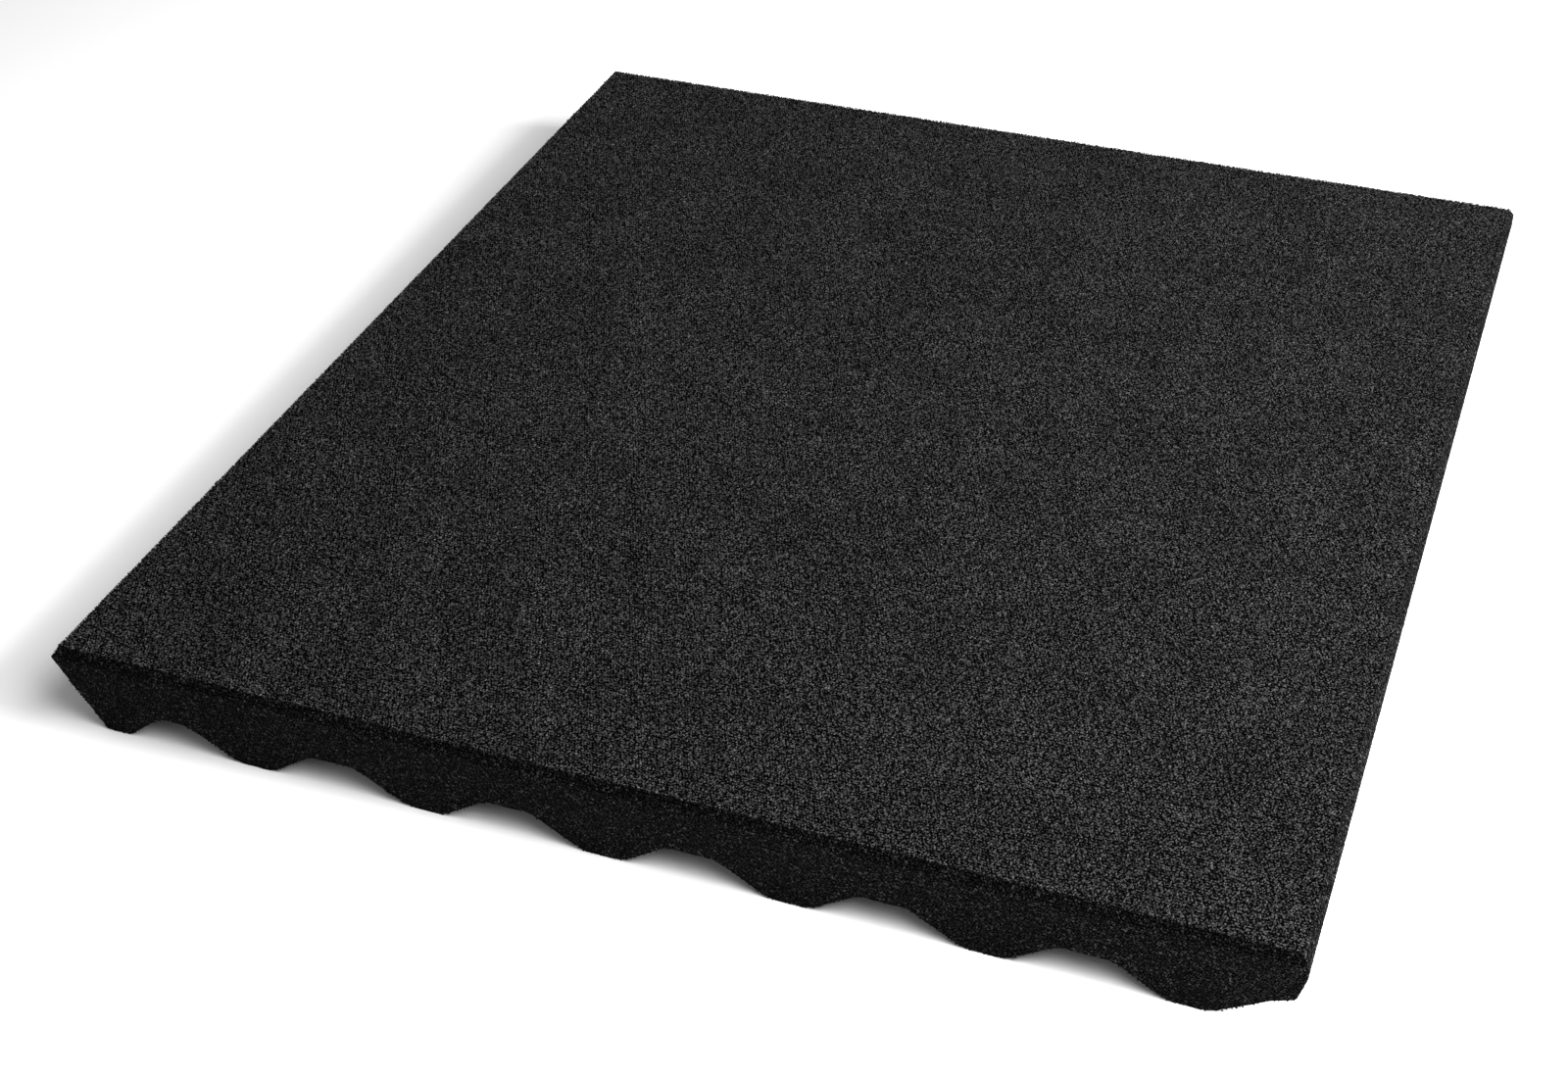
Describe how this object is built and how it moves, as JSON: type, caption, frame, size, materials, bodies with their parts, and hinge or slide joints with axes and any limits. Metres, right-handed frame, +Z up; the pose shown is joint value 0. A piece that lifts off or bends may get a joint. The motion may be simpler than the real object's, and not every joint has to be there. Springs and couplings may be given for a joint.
{
  "type": "rubber safety mat",
  "caption": "Square slab of bonded black rubber crumb with a flat tread face, a chamfered rim and wave-shaped drainage grooves along the underside.",
  "frame": {"origin": "middle of the footprint, level with the feet of the ribs", "axes": "+Z up through the thickness, out of the tread face; +X along the front edge, across the ribs; +Y the way the ribs and grooves run, front to back"},
  "size_m": [1, 1, 0.08],
  "materials": {
    "crumb_rubber": "matt, coarse bonded crumb"
  },
  "bodies": {
    "root": {"safety_mat": "crumb_rubber"}
  },
  "joints": []
}
